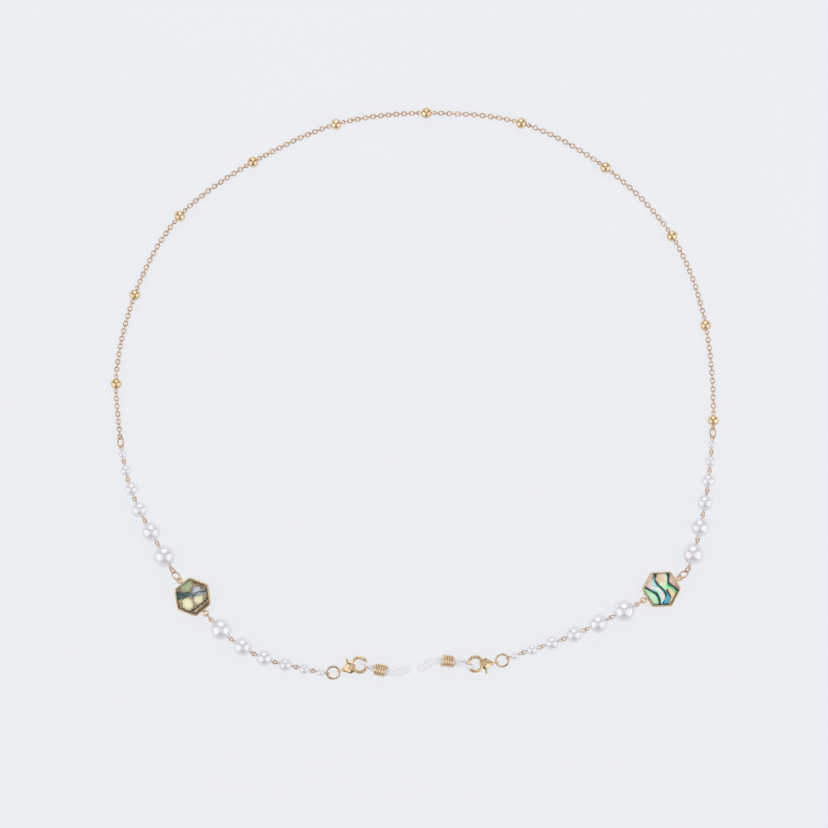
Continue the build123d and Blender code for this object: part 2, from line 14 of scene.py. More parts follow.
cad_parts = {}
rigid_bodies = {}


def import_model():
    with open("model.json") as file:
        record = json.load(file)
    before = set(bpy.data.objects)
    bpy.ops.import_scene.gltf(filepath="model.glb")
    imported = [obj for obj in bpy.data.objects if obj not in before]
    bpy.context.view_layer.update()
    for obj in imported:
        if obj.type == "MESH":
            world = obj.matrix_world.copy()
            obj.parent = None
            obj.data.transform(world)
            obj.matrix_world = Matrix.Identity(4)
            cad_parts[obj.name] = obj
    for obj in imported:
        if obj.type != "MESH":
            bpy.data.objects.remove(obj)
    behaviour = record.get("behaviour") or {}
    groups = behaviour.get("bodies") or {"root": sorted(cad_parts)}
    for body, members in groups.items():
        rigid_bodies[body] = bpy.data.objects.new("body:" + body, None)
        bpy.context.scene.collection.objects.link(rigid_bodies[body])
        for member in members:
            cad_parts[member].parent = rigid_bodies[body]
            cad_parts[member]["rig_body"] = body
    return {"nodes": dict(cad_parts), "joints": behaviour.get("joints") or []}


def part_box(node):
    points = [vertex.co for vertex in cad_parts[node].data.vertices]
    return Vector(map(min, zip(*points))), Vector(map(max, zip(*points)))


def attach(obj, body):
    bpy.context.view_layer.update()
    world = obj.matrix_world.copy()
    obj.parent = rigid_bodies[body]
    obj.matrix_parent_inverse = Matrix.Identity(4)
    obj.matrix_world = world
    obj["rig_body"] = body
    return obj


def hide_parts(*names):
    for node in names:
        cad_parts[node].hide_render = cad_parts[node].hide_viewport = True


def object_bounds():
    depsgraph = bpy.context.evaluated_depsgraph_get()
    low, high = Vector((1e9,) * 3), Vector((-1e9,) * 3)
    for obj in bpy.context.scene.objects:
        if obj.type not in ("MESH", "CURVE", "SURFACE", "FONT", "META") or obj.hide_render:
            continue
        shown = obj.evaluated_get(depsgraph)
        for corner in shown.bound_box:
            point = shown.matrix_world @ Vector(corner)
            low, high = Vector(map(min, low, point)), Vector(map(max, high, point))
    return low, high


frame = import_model()
CAD_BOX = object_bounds()
MM = 0.001
SIDES = ("left", "right")

# ---------------------------------------------------------------- sizes, in millimetres
LINK = dict(length=2.34, width=1.85, wire=0.205)
CONNECTOR = dict(length=3.75, width=2.00, wire=0.21)
BALL_DIAMETER = 4.0
BALL_PIN = dict(eye=0.65, wire=0.19)
PEARL_PIN = dict(eye=0.82, wire=0.18)
BORE_CLEARANCE = 0.06
RINGS = {"chain_ring": (1.75, 0.28), "hex_ring": (1.90, 0.27), "clasp_ring": (2.33, 0.36)}
HEX_FLATS, HEX_CORNER = 12.6, 1.5
HEX_WALL, HEX_FLOOR, HEX_HEIGHT = 0.5, 0.6, 3.0
SHELL_THICKNESS, DOME_CROWN, FIT_GAP = 1.2, 0.6, 0.03
COIL = dict(radius=1.97, wire=0.36, turns=5, pitch=0.86)
CLASP_THICKNESS, RIVET, RIVET_HEAD = 2.0, 0.42, 0.44


# ---------------------------------------------------------------- shapes as points and faces
class Shape:
    """Points in millimetres and the faces between them."""

    def __init__(self, points=(), faces=()):
        self.points = np.array(points, float).reshape(-1, 3)
        self.faces = list(faces)

    def add(self, other):
        base = len(self.points)
        self.points = np.vstack([self.points, other.points])
        self.faces += [tuple(base + i for i in face) for face in other.faces]
        return self

    def placed(self, centre, axes):
        """A copy at centre, with its X, Y and Z along the three columns of axes."""
        return Shape(self.points @ np.asarray(axes, float).T + centre, self.faces)


def grid_faces(rows, columns, closed_rows):
    """Faces between rings of points, whose rows may close on themselves too."""
    faces = []
    for i in range(rows if closed_rows else rows - 1):
        for j in range(columns):
            a, b = i * columns, (i + 1) % rows * columns
            k = (j + 1) % columns
            faces.append((a + j, b + j, b + k, a + k))
    return faces


def sweep(line, radii, ring=14, closed=False, flat=None, chamfer=0.25):
    """A wire along a line of points. flat is the normal of a planar line's plane."""
    line = np.array(line, float)
    radii = np.broadcast_to(np.array(radii, float), (len(line),)).copy()
    if not closed:
        for end, inward in ((0, 1), (-1, -2)):
            way = line[end] - line[inward]
            way /= np.linalg.norm(way)
            tip = line[end] + way * radii[end] * chamfer
            where = 0 if end == 0 else len(line)
            line = np.insert(line, where, tip, axis=0)
            radii = np.insert(radii, where, radii[end] * (1 - chamfer))
        ways = np.gradient(line, axis=0)
    else:
        ways = np.roll(line, -1, axis=0) - np.roll(line, 1, axis=0)
    ways /= np.linalg.norm(ways, axis=1)[:, None]
    if flat is None:
        start = np.cross(ways[0], (0.31, 0.52, 0.79))
        side = start / np.linalg.norm(start)
    else:
        side = np.array(flat, float)
    angles = np.linspace(0, 2 * math.pi, ring, endpoint=False)
    points = []
    for point, way, radius in zip(line, ways, radii):
        side = side - way * side.dot(way)
        side /= np.linalg.norm(side)
        other = np.cross(way, side)
        points.append(point + radius * (np.outer(np.cos(angles), side) + np.outer(np.sin(angles), other)))
    shape = Shape(np.vstack(points), grid_faces(len(line), ring, closed))
    if not closed:
        last = (len(line) - 1) * ring
        shape.faces.append(tuple(range(ring)))
        shape.faces.append(tuple(last + i for i in reversed(range(ring))))
    return shape


def arc(centre, radius, start, turn, count):
    """Points of an arc in the XY plane; angles in degrees, turn signed."""
    angles = np.radians(start + turn * np.linspace(0, 1, count))
    return np.stack([centre[0] + radius * np.cos(angles), centre[1] + radius * np.sin(angles),
                     np.zeros(count)], axis=1)


def revolve(profile, axis=0, count=48, closed=False):
    """Turns a profile of (along, radius) points about X or Z."""
    angles = np.linspace(0, 2 * math.pi, count, endpoint=False)
    points = []
    for along, radius in profile:
        ring = np.zeros((count, 3))
        ring[:, axis] = along
        ring[:, (axis + 1) % 3] = radius * np.cos(angles)
        ring[:, (axis + 2) % 3] = radius * np.sin(angles)
        points.append(ring)
    shape = Shape(np.vstack(points), grid_faces(len(profile), count, closed))
    if not closed:
        last = (len(profile) - 1) * count
        shape.faces.append(tuple(reversed(range(count))))
        shape.faces.append(tuple(last + i for i in range(count)))
    return shape


def wire_link(length, width, wire):
    """A closed oval link, a little swollen where its ends were soldered."""
    bend, half = width / 2 - wire, (length - width) / 2
    right, left = arc((half, 0), bend, -90, 180, 19), arc((-half, 0), bend, 90, 180, 19)
    far = np.linspace(right[-1], left[0], 9)[1:-1]
    near = np.linspace(left[-1], right[0], 9)[1:-1]
    line = np.vstack([right, far, left, near])
    seam = np.exp(-((line[:, 0] / 0.16) ** 2)) * (line[:, 1] > 0)
    return sweep(line, wire * (1 + 0.09 * seam), ring=12, closed=True, flat=(0, 0, 1))


def eye_pin(reach, eye, wire, turned=312):
    """A straight wire, each end bent aside and round into an eye."""
    neck = wire + 0.02
    aside = math.degrees(math.acos(neck / (neck + eye)))
    shaft = reach - (neck + eye) * math.sin(math.radians(aside))
    bend = arc((shaft, -neck), neck, 90, -aside, 7)
    start = math.degrees(math.atan2(bend[-1][1], bend[-1][0] - reach))
    loop = arc((reach, 0), eye, start, turned, 40)
    half = np.vstack([np.linspace((0, 0, 0), (shaft, 0, 0), 6), bend[1:], loop[1:]])
    other = -half[::-1]
    other[:, 2] = 0
    return sweep(np.vstack([other[:-1], half]), wire, ring=12, flat=(0, 0, 1))


def bored_bead(diameter, bore, rim=0.10):
    """A ball with a hole along X whose mouth is rounded over."""
    radius = diameter / 2
    edge = math.asin((bore + rim) / radius)
    outer = [(-radius * math.cos(a), radius * math.sin(a))
             for a in np.linspace(edge, math.pi - edge, 40)]
    mouth = outer[0][0]
    lip = [(mouth + rim * (1 - math.cos(a)) * 0.9, bore + rim * (1 - math.sin(a)))
           for a in np.radians((20, 45, 70, 90))]
    far_lip = [(-x, r) for x, r in reversed(lip)]
    return revolve(outer + far_lip + lip[::-1], count=48, closed=True)


def cut_ring(radius, wire, gap=0.08):
    """A jump ring with its cut at the far side of X."""
    turn = 360 - math.degrees(gap / radius)
    return sweep(arc((0, 0), radius, -turn / 2, turn, 72), wire, ring=16, flat=(0, 0, 1), chamfer=0.15)


def hexagon(flats, corner, per_corner=8, per_side=6):
    """The outline of a hexagon with flats facing along X and rounded corners."""
    centre = (flats / 2 - corner) / math.cos(math.radians(30))
    outline = []
    for k in range(6):
        facing = math.radians(30 + 60 * k)
        middle = (centre * math.cos(facing), centre * math.sin(facing))
        outline.append(arc(middle, corner, 60 * k, 60, per_corner))
    points = []
    for here, following in zip(outline, outline[1:] + outline[:1]):
        points += list(here) + list(np.linspace(here[-1], following[0], per_side + 2)[1:-1])
    return np.array(points)


def stack(rows):
    """A closed skin over rings of points, one above another."""
    count = len(rows[0])
    shape = Shape(np.vstack(rows), grid_faces(len(rows), count, False))
    top = (len(rows) - 1) * count
    shape.faces.append(tuple(reversed(range(count))))
    shape.faces.append(tuple(top + i for i in range(count)))
    return shape


def hex_row(inset, height, flats, corner):
    """One ring of a hexagonal slab, set in from its outline and lifted to a height."""
    row = hexagon(flats - 2 * inset, max(corner - inset, 0.3))
    row[:, 2] = height
    return row


def crowned_hexagon(flats, corner, foot, edge, crown, rings=14, bevel=0.12):
    """A slab whose top rises from its edge to a crown in the middle."""
    below = 0.10
    steps = [(below, foot), (0, foot + below), (0, edge - bevel), (bevel * 0.3, edge - bevel * 0.3), (bevel, edge)]
    rows = [hex_row(inset, height, flats, corner) for inset, height in steps]
    outline = hexagon(flats - 2 * bevel, corner - bevel)
    rim = np.linalg.norm(outline, axis=1).max()
    for share in np.linspace(1, 0, rings)[1:]:
        row = outline * max(share, 0.02)
        row[:, 2] = edge + crown * (1 - (np.linalg.norm(row[:, :2], axis=1) / rim) ** 2)
        blend = min(1.0, (1 - share) * 6)
        row[:, 2] = edge + (row[:, 2] - edge) * blend
        rows.append(row)
    return stack(rows)


# ---------------------------------------------------------------- the CAD solids' places
def solids(node):
    """Each separate solid of a CAD node, as its points in millimetres and its triangles."""
    work = bmesh.new()
    work.from_mesh(frame["nodes"][node].data)
    bmesh.ops.remove_doubles(work, verts=work.verts, dist=1e-6)
    bmesh.ops.triangulate(work, faces=work.faces)
    work.verts.ensure_lookup_table()
    seen, found = set(), []
    for seed in work.verts:
        if seed.index in seen:
            continue
        seen.add(seed.index)
        group, queue = [], [seed]
        while queue:
            vert = queue.pop()
            group.append(vert)
            for edge in vert.link_edges:
                other = edge.other_vert(vert)
                if other.index not in seen:
                    seen.add(other.index)
                    queue.append(other)
        order = {vert.index: i for i, vert in enumerate(group)}
        faces = {face for vert in group for face in vert.link_faces}
        triangles = sorted(tuple(order[v.index] for v in face.verts) for face in faces)
        if triangles:
            points = np.array([vert.co for vert in group], float) / MM
            found.append((points, np.array(triangles)))
    work.free()
    return found


def principal(points, triangles):
    """The middle of a solid's surface and its axes: X the longest, Z the shortest."""
    corners = points[triangles]
    middle = corners.mean(axis=1)
    area = np.linalg.norm(np.cross(corners[:, 1] - corners[:, 0], corners[:, 2] - corners[:, 0]), axis=1) / 2
    centre = (middle * area[:, None]).sum(0) / area.sum()
    spread = np.zeros((3, 3))
    for part, weight in ((corners[:, 0], 1), (corners[:, 1], 1), (corners[:, 2], 1), (middle, 9)):
        offset = part - centre
        spread += weight * np.einsum("i,ij,ik->jk", area, offset, offset)
    axes = np.linalg.eigh(spread)[1][:, ::-1]
    if np.linalg.det(axes) < 0:
        axes[:, 1] *= -1
    local = (points - centre) @ axes
    middle = (local.max(0) + local.min(0)) / 2
    return centre + axes @ middle, axes, local.max(0) - local.min(0)


def pin_place(points, triangles, eye, wire):
    """Where an eye pin lies: X through both eyes, and the side that its necks bend to."""
    centre, axes, size = principal(points, triangles)
    for _ in range(2):
        local = (points - centre) @ axes
        ends = []
        for way in (1, -1):
            tip = (local[:, 0] * way).max()
            near = local[local[:, 0] * way > tip - 2 * (eye + wire)]
            high, low = near.max(0), near.min(0)
            ends.append(np.array([way * (tip - eye - wire), (high[1] + low[1]) / 2, (high[2] + low[2]) / 2]))
        line = axes @ (ends[0] - ends[1])
        centre = centre + axes @ ((ends[0] + ends[1]) / 2)
        x = line / np.linalg.norm(line)
        z = axes[:, 2] - x * axes[:, 2].dot(x)
        z /= np.linalg.norm(z)
        axes = np.stack([x, np.cross(z, x), z], axis=1)
    reach = np.linalg.norm(ends[0] - ends[1]) / 2
    local = (points - centre) @ axes
    neck = np.abs(local[:, 0])
    between = (neck < reach - 0.75 * eye) & (neck > reach - 1.6 * eye)
    lean = (local[between, 1] * np.sign(local[between, 0])).mean() if between.any() else -1
    if lean > 0:
        axes = axes @ np.diag([1, -1, -1])
    return centre, axes, reach


# ---------------------------------------------------------------- pieces
def finish_piece(thing, body, nodes, paint):
    """Paints a piece, lets it ride on its body and hides the CAD nodes that it stands for."""
    thing.data.materials.clear()
    thing.data.materials.append(paint)
    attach(thing, body)
    if nodes:
        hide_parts(*nodes)
    return thing


def make(name, shape, body, nodes, paint, origin=None):
    """A new mesh object from a shape, with its origin at a point in millimetres."""
    origin = np.zeros(3) if origin is None else np.asarray(origin, float)
    mesh = bpy.data.meshes.new(name)
    mesh.from_pydata(((shape.points - origin) * MM).tolist(), [], shape.faces)
    mesh.validate()
    work = bmesh.new()
    work.from_mesh(mesh)
    bmesh.ops.recalc_face_normals(work, faces=work.faces)
    work.to_mesh(mesh)
    work.free()
    mesh.shade_smooth()
    thing = bpy.data.objects.new(name, mesh)
    thing.location = Vector(origin * MM)
    bpy.context.scene.collection.objects.link(thing)
    return finish_piece(thing, body, nodes, paint)


def baked_mesh(thing, name):
    """The object's mesh with its modifiers applied."""
    bpy.context.view_layer.update()
    final = bpy.data.meshes.new_from_object(thing.evaluated_get(bpy.context.evaluated_depsgraph_get()))
    final.name = name
    thing.modifiers.clear()
    thing.data = final
    return final


def remeshed(thing, voxel):
    """Adds an even remesh, with cells of voxel millimetres."""
    remesh = thing.modifiers.new("even", "REMESH")
    remesh.mode, remesh.voxel_size = "VOXEL", voxel * MM


def cast(name, node, body, paint, voxel, smoothing, swell=0.0, reshape=None):
    """A CAD solid remade as one evenly meshed casting whose edges are rounded over.

    swell, in millimetres, makes up for what the rounding takes off."""
    mesh = frame["nodes"][node].data.copy()
    mesh.name = name
    work = bmesh.new()
    work.from_mesh(mesh)
    bmesh.ops.remove_doubles(work, verts=work.verts, dist=1e-6)
    work.to_mesh(mesh)
    work.free()
    thing = bpy.data.objects.new(name, mesh)
    bpy.context.scene.collection.objects.link(thing)
    if reshape:
        remeshed(thing, voxel)
        reshape(baked_mesh(thing, name))
    remeshed(thing, voxel)
    soften = thing.modifiers.new("round", "SMOOTH")
    soften.factor, soften.iterations = 0.5, smoothing
    if swell:
        grow = thing.modifiers.new("swell", "DISPLACE")
        grow.strength, grow.mid_level = swell * MM, 0.0
    baked_mesh(thing, name).shade_smooth()
    return finish_piece(thing, body, [node], paint)


def smooth_step(values, low, high):
    """0 below low, 1 above high and a smooth rise between."""
    share = np.clip((values - low) / (high - low), 0, 1)
    return share * share * (3 - 2 * share)


def sculpted_clasp(pivot, axes):
    """Turns the flat clasp plate into a round claw and two domed cheeks."""
    def reshape(mesh):
        count = len(mesh.vertices)
        points, normals = np.zeros(count * 3), np.zeros(count * 3)
        mesh.vertices.foreach_get("co", points)
        mesh.vertices.foreach_get("normal", normals)
        local = (points.reshape(-1, 3) / MM - pivot) @ axes
        upright = np.abs(normals.reshape(-1, 3) @ axes[:, 2])
        from_rivet = np.hypot(local[:, 0], local[:, 1])
        wall = np.flatnonzero((upright < 0.5) & (np.abs(local[:, 2]) > 0.62) & (from_rivet > 0.9))
        tree = kdtree.KDTree(len(wall))
        for place, i in enumerate(wall):
            tree.insert((local[i, 0], local[i, 1], 0), place)
        tree.balance()
        inward = np.array([tree.find((x, y, 0))[2] for x, y, z in local])

        def dome(reach):
            return np.sqrt(1 - (1 - np.minimum(inward / reach, 1)) ** 2)

        claw = smooth_step(local[:, 0], 1.2, 2.2)
        limit = (0.58 + 0.42 * dome(2.3)) * (1 - claw) + 1.0 * dome(0.56) * claw
        shaped = np.sign(local[:, 2]) * np.minimum(np.abs(local[:, 2]), limit)
        share = smooth_step(local[:, 0], -2.95, -2.4)
        local[:, 2] = local[:, 2] * (1 - share) + shaped * share
        mesh.vertices.foreach_set("co", ((local @ axes.T + pivot) * MM).ravel())
    return reshape


# ---------------------------------------------------------------- materials
class Paint:
    """One material, built node by node."""

    def __init__(self, name):
        self.material = bpy.data.materials.new(name)
        self.material.use_nodes = True
        self.tree = self.material.node_tree
        self.tree.nodes.clear()

    def node(self, kind, inputs=None, **settings):
        made = self.tree.nodes.new("ShaderNode" + kind)
        for key, value in settings.items():
            setattr(made, key, value)
        for key, value in (inputs or {}).items():
            if isinstance(value, bpy.types.NodeSocket):
                self.tree.links.new(value, made.inputs[key])
            else:
                made.inputs[key].default_value = value
        return made

    def math(self, operation, a, b=0.0):
        return self.node("Math", {0: a, 1: b}, operation=operation).outputs[0]

    def mix(self, share, a, b):
        made = self.node("Mix", {0: share}, data_type="RGBA")
        for socket, value in ((made.inputs[6], a), (made.inputs[7], b)):
            if isinstance(value, bpy.types.NodeSocket):
                self.tree.links.new(value, socket)
            else:
                socket.default_value = value
        return made.outputs[2]

    def noise(self, where, scale, detail=3.0, roughness=0.5, distortion=0.0):
        return self.node("TexNoise", {"Vector": where, "Scale": scale, "Detail": detail,
                                      "Roughness": roughness, "Distortion": distortion}).outputs["Fac"]

    def ramp(self, value, stops):
        made = self.node("ValToRGB", {"Fac": value})
        elements = made.color_ramp.elements
        while len(elements) > 1:
            elements.remove(elements[-1])
        elements[0].position, elements[0].color = stops[0]
        for position, colour in stops[1:]:
            elements.new(position).color = colour
        return made.outputs["Color"]

    def span(self, value, low, high, to_low=0.0, to_high=1.0):
        return self.node("MapRange", {"Value": value, "From Min": low, "From Max": high,
                                      "To Min": to_low, "To Max": to_high}, clamp=True).outputs["Result"]

    def curve(self, value, points):
        """A smooth curve through points whose two numbers both run from -1 to 1."""
        made = self.node("FloatCurve", {"Value": self.span(value, -1, 1)})
        line = made.mapping.curves[0]
        wanted = [((x + 1) / 2, (y + 1) / 2) for x, y in points]
        line.points[0].location, line.points[1].location = wanted[0], wanted[-1]
        for place in wanted[1:-1]:
            line.points.new(*place)
        made.mapping.update()
        return self.span(made.outputs["Value"], 0, 1, -1, 1)

    def bump(self, height, strength, distance):
        made = self.node("Bump", {"Height": height, "Strength": strength, "Distance": distance * MM})
        return made.outputs["Normal"]

    def surface(self, **inputs):
        named = {key.replace("_", " "): value for key, value in inputs.items()}
        shader = self.node("BsdfPrincipled", named)
        output = self.node("OutputMaterial")
        self.tree.links.new(shader.outputs["BSDF"], output.inputs["Surface"])
        return self.material

    def place(self):
        return self.node("TexCoord").outputs["Object"]


def rgb(red, green, blue):
    """Screen colour, 0 to 255, as a linear colour."""
    def linear(level):
        level /= 255
        return level / 12.92 if level <= 0.04045 else ((level + 0.055) / 1.055) ** 2.4
    return (linear(red), linear(green), linear(blue), 1.0)


def gold(name, light, deep, roughness):
    paint = Paint(name)
    where = paint.place()
    plating = paint.noise(where, 700, 4, 0.6)
    grain = paint.noise(where, 9000, 2, 0.6)
    stretched = paint.node("Mapping", {"Vector": where, "Scale": (1.0, 7.0, 1.0)}).outputs["Vector"]
    scratches = paint.noise(stretched, 2600, 5, 0.7, 1.5)
    colour = paint.mix(paint.span(plating, 0.3, 0.75), light, deep)
    colour = paint.mix(paint.span(scratches, 0.62, 0.72, 0, 0.25), colour, deep)
    rough = paint.span(paint.math("ADD", grain, scratches), 0.6, 1.4, roughness * 0.7, roughness * 1.4)
    return paint.surface(Base_Color=colour, Metallic=1.0, Roughness=rough,
                         Normal=paint.bump(scratches, 0.06, 0.008))


def pearl_paint():
    paint = Paint("pearl_nacre")
    where = paint.place()
    cloud = paint.noise(where, 210, 3, 0.55, 0.6)
    blush = paint.noise(where, 130, 2, 0.5, 0.3)
    skin = paint.noise(where, 2600, 3, 0.6)
    colour = paint.mix(paint.span(cloud, 0.35, 0.7), rgb(243, 243, 247), rgb(234, 235, 242))
    colour = paint.mix(paint.span(blush, 0.45, 0.75, 0, 0.6), colour, rgb(245, 236, 236))
    # painted sheen: a pale tint towards the pearl's outline, as the camera sees it
    rim = paint.node("LayerWeight", {"Blend": 0.42}).outputs["Facing"]
    colour = paint.mix(paint.span(rim, 0.35, 0.95, 0, 0.8), colour, rgb(240, 240, 244))
    return paint.surface(Base_Color=colour, Metallic=0.34, Roughness=paint.span(skin, 0.3, 0.7, 0.19, 0.28),
                         Specular_IOR_Level=0.5, Coat_Weight=0.45, Coat_Roughness=0.15, Coat_IOR=1.5,
                         Normal=paint.bump(skin, 0.04, 0.01))


def silicone_paint():
    paint = Paint("clear_silicone")
    where = paint.place()
    cloud = paint.noise(where, 300, 3, 0.5)
    skin = paint.noise(where, 3000, 2, 0.5)
    colour = paint.mix(cloud, rgb(246, 246, 249), rgb(239, 240, 244))
    # painted light: the loop glows faintly in its own colour, which brightens it towards white
    return paint.surface(Base_Color=colour, Roughness=paint.span(skin, 0.3, 0.7, 0.36, 0.5), IOR=1.41,
                         Alpha=0.78, Specular_IOR_Level=0.3, Emission_Color=colour, Emission_Strength=0.07,
                         Normal=paint.bump(skin, 0.05, 0.01))


def resin_paint():
    paint = Paint("clear_resin")
    where = paint.place()
    swell = paint.noise(where, 260, 2, 0.4)
    haze = paint.noise(where, 1800, 3, 0.5)
    colour = paint.mix(paint.span(haze, 0.4, 0.8), rgb(255, 255, 253), rgb(250, 251, 248))
    return paint.surface(Base_Color=colour, Roughness=paint.span(haze, 0.3, 0.8, 0.01, 0.05), IOR=1.48,
                         Transmission_Weight=1.0, Normal=paint.bump(swell, 0.10, 0.05))


def steel_paint():
    paint = Paint("spring_steel")
    where = paint.place()
    rolled = paint.node("Mapping", {"Vector": where, "Scale": (1.0, 1.0, 9.0)}).outputs["Vector"]
    lines = paint.noise(rolled, 2500, 4, 0.6)
    colour = paint.mix(lines, rgb(196, 198, 202), rgb(150, 152, 158))
    return paint.surface(Base_Color=colour, Metallic=1.0, Roughness=paint.span(lines, 0.3, 0.7, 0.22, 0.42),
                         Normal=paint.bump(lines, 0.15, 0.01))


HALF_FLATS = HEX_FLATS / 2 - HEX_WALL       # one unit of the shell patterns


def shell_base(name):
    """Coordinates over the shell, one unit from its middle to a flat, a little warped."""
    paint = Paint(name)

    def vector(operation, a, **other):
        inputs = {0: a, 1: other["b"]} if "b" in other else {0: a, 3: other["scale"]}
        return paint.node("VectorMath", inputs, operation=operation).outputs["Vector"]

    where = vector("SCALE", paint.place(), scale=1 / (HALF_FLATS * MM))
    warp = paint.node("TexNoise", {"Vector": where, "Scale": 2.2, "Detail": 3.0}).outputs["Color"]
    offset = vector("SCALE", vector("SUBTRACT", warp, b=(0.5, 0.5, 0.5)), scale=0.16)
    return paint, where, vector("ADD", where, b=offset)


def along(paint, where, x, y):
    """How far a place lies along a direction in the shell's plane."""
    return paint.node("VectorMath", {0: where, 1: (x, y, 0)}, operation="DOT_PRODUCT").outputs["Value"]


def shell_surface(paint, colour, where):
    ripple = paint.noise(where, 5, 4, 0.6, 0.8)
    # painted light: the shell glows at half strength in its own colour, standing in for the lamp light that the clear
    # dome keeps off it
    return paint.surface(Base_Color=colour, Roughness=paint.span(ripple, 0.3, 0.7, 0.22, 0.38),
                         Specular_IOR_Level=0.15, Emission_Color=colour, Emission_Strength=0.5,
                         Normal=paint.bump(ripple, 0.25, 0.15))


def painted_edge_shade(paint, where, colour, turn, least):
    """Paints shade over the shell near its edge, most at the bottom and by the least share at the top: a painted
    shadow of the bezel wall and a painted dark reflection in the dome.
    """
    reach = None
    for degrees in (0, 60, 120):
        side = turn + math.radians(degrees)
        distance = paint.math("ABSOLUTE", along(paint, where, math.cos(side), math.sin(side)))
        reach = distance if reach is None else paint.math("MAXIMUM", reach, distance)
    low = paint.span(along(paint, where, 0.1, -1), -0.7, 0.4, least, 1.0)
    edge = paint.math("MULTIPLY", paint.span(reach, 0.82, 0.97), low)
    # painted shade: dark brown laid over the shell colour near its edge
    return paint.mix(edge, colour, rgb(52, 38, 26))


def right_shell_paint(turn):
    """Pale green, cream and peach shell crossed by dark growth lines that run down to the right."""
    paint, where, warped = shell_base("shell_right")
    slant = 0.7071
    rise, run = along(paint, warped, slant, slant), along(paint, warped, slant, -slant)
    long_line = [(-1, 0.6), (-0.84, 0.36), (-0.68, 0.12), (-0.37, 0.04), (0.0, 0.07), (0.3, 0.02), (0.54, -0.12),
                 (0.65, -0.44), (1, -0.95)]
    low_line = [(-1, -0.72), (-0.79, -0.65), (-0.47, -0.54), (-0.1, -0.44), (0.2, -0.47), (0.41, -0.57),
                (0.54, -0.7), (1, -1)]
    high_line = [(-1, 1.0), (-0.35, 0.95), (-0.2, 0.84), (0.03, 0.6), (0.2, 0.6), (0.36, 0.65), (0.7, 0.68), (1, 0.6)]
    short_line = [(-1, 0.9), (0.1, 0.4), (0.25, 0.23), (0.54, 0.15), (0.78, 0.07), (0.86, -0.11), (1, -0.5)]
    lines = [long_line, low_line, high_line, short_line]
    widths = [0.065, 0.06, 0.085, 0.055]
    apart = [paint.math("SUBTRACT", rise, paint.curve(run, line)) for line in lines]
    long_gap, low_gap, high_gap, short_gap = apart
    starts = paint.span(run, 0.12, 0.26)        # the short line begins in the middle of the shell
    nearest, dark = None, None
    for gap, width in zip(apart, widths):
        distance = paint.math("ABSOLUTE", gap)
        if gap is short_gap:
            distance = paint.math("ADD", distance, paint.span(starts, 0, 1, 0.6, 0))
        stroke = paint.span(distance, width * 0.55, width * 1.5, 1, 0)
        dark = stroke if dark is None else paint.math("MAXIMUM", dark, stroke)
        nearest = distance if nearest is None else paint.math("MINIMUM", nearest, distance)
    drift = paint.noise(where, 2.6, 3, 0.55, 0.4)
    depth = paint.math("ADD", nearest, paint.span(drift, 0.3, 0.7, -0.06, 0.10))
    green = paint.ramp(depth, [(0.03, rgb(20, 120, 84)), (0.10, rgb(74, 208, 138)), (0.19, rgb(176, 240, 190)),
                               (0.30, rgb(222, 242, 200)), (0.44, rgb(246, 228, 190))])
    warm = paint.ramp(depth, [(0.03, rgb(70, 130, 150)), (0.09, rgb(110, 208, 226)), (0.16, rgb(214, 232, 230)),
                              (0.26, rgb(248, 230, 220)), (0.40, rgb(240, 206, 182))])
    tint = paint.span(paint.noise(where, 1.5, 2, 0.5, 0.2), 0.44, 0.56)
    between = paint.math("MULTIPLY", paint.span(long_gap, -0.04, 0.0, 1, 0), paint.span(low_gap, 0.0, 0.04))
    warmth = paint.math("MAXIMUM", paint.math("MULTIPLY", tint, 0.6), paint.math("MULTIPLY", between, 0.9))
    colour = paint.mix(warmth, green, warm)

    above_long, above_short = paint.span(long_gap, 0.0, 0.05), paint.span(short_gap, 0.0, 0.05)
    below_short = paint.span(short_gap, -0.05, 0.0, 1, 0)
    washes = [      # a shade, and the shares whose product says where it lies
        (rgb(206, 240, 206), paint.span(low_gap, -0.03, 0.0, 1, 0), paint.span(nearest, 0.08, 0.2)),
        (rgb(150, 222, 232), between, paint.span(run, -0.50, -0.28, 0.8, 0), paint.span(long_gap, -0.42, -0.2)),
        (rgb(240, 210, 212), between, paint.span(run, -0.40, -0.20, 0.9, 0),
         paint.span(long_gap, -0.52, -0.36, 1, 0)),
        (rgb(34, 28, 40), between, paint.span(run, -0.88, -0.74, 0.9, 0), paint.span(long_gap, -0.40, -0.26)),
        (rgb(206, 238, 196), above_long, paint.span(run, -0.4, 0.1), paint.span(high_gap, -0.42, -0.2, 0.9, 0)),
        (rgb(216, 184, 156), above_long, paint.span(run, -0.5, -0.3, 0.8, 0), paint.span(rise, 0.5, 0.3)),
        (rgb(36, 166, 204), above_long, below_short, paint.span(run, 0.16, 0.36, 0, 0.9)),
        (rgb(250, 216, 176), above_short, paint.span(run, 0.22, 0.42, 0, 0.9),
         paint.span(high_gap, -0.22, -0.12, 1, 0)),
        (rgb(30, 200, 116), paint.span(high_gap, -0.34, -0.08), paint.span(high_gap, 0.0, 0.03, 1, 0),
         paint.span(run, -0.05, 0.12)),
        (rgb(240, 190, 186), paint.span(high_gap, 0.0, 0.05, 0, 0.8)),
        (rgb(120, 104, 100), above_long, paint.span(run, -0.80, -0.66, 0.6, 0)),
    ]
    for shade, share, *others in washes:
        for other in others:
            share = paint.math("MULTIPLY", share, other)
        colour = paint.mix(share, colour, shade)
    colour = paint.mix(dark, colour, rgb(6, 14, 18))
    # painted shade and dark reflection near the shell's edge
    colour = painted_edge_shade(paint, where, colour, turn, 0.15)
    return shell_surface(paint, colour, where)


